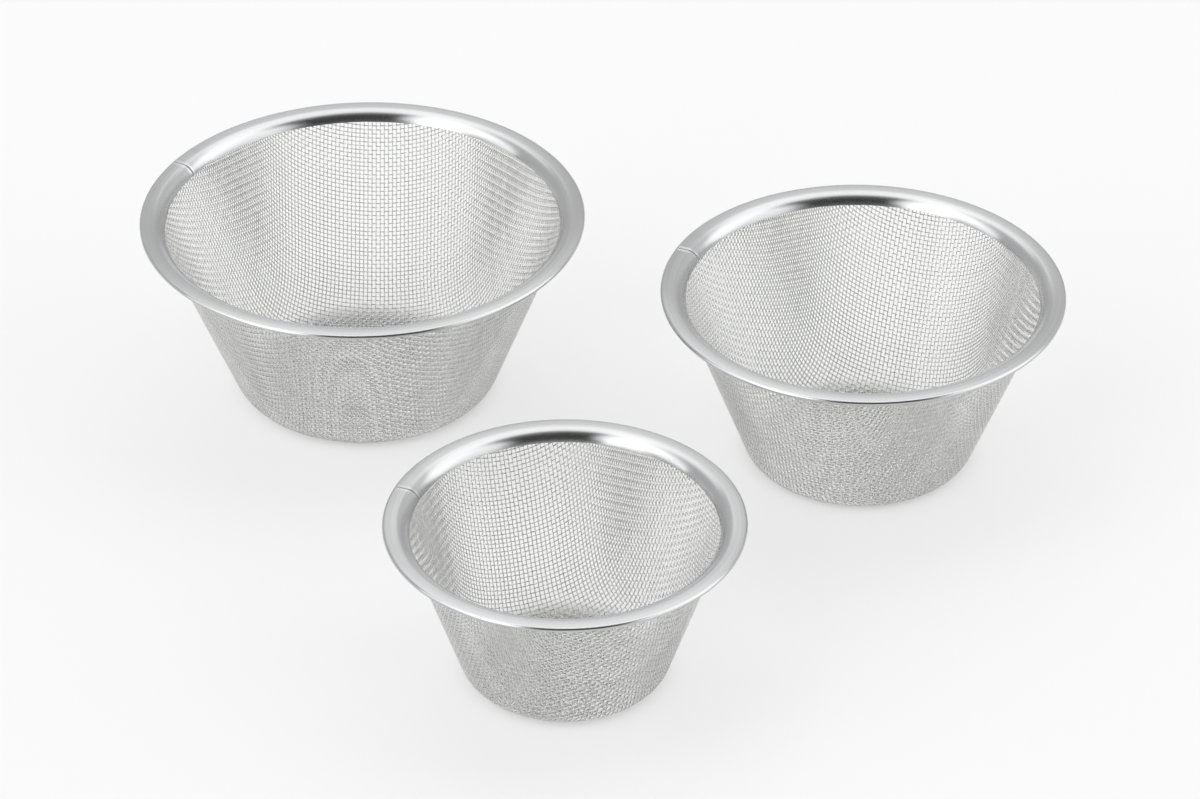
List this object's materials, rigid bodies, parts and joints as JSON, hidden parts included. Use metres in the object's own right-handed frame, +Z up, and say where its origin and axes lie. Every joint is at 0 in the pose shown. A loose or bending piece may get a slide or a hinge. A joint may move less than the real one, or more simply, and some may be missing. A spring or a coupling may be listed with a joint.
{
  "type": "set of wire mesh colanders",
  "caption": "Nesting set of flat-bottomed colanders: woven wire baskets with sloping walls, each clamped in a folded flat steel rim.",
  "frame": {"origin": "on the table, at the middle of the ground that the three rims cover", "axes": "+X to the right and +Y away as the set stands in the picture, +Z up"},
  "size_m": [0.3398, 0.3276, 0.0737],
  "materials": {
    "wire_cloth": "bright drawn stainless wire, plain weave",
    "rim_steel": "polished stainless sheet with a fine turned grain round the rim"
  },
  "bodies": {
    "large_colander": {"large_wire_basket": "wire_cloth", "large_rim_band": "rim_steel"},
    "medium_colander": {"medium_wire_basket": "wire_cloth", "medium_rim_band": "rim_steel"},
    "small_colander": {"small_wire_basket": "wire_cloth", "small_rim_band": "rim_steel"}
  },
  "joints": [
    {"name": "medium_lift", "type": "slide", "parent": "large_colander", "child": "medium_colander", "axis": [0, 0, 1], "range_m": [0, 0.1]},
    {"name": "small_lift", "type": "slide", "parent": "large_colander", "child": "small_colander", "axis": [0, 0, 1], "range_m": [0, 0.1]}
  ]
}
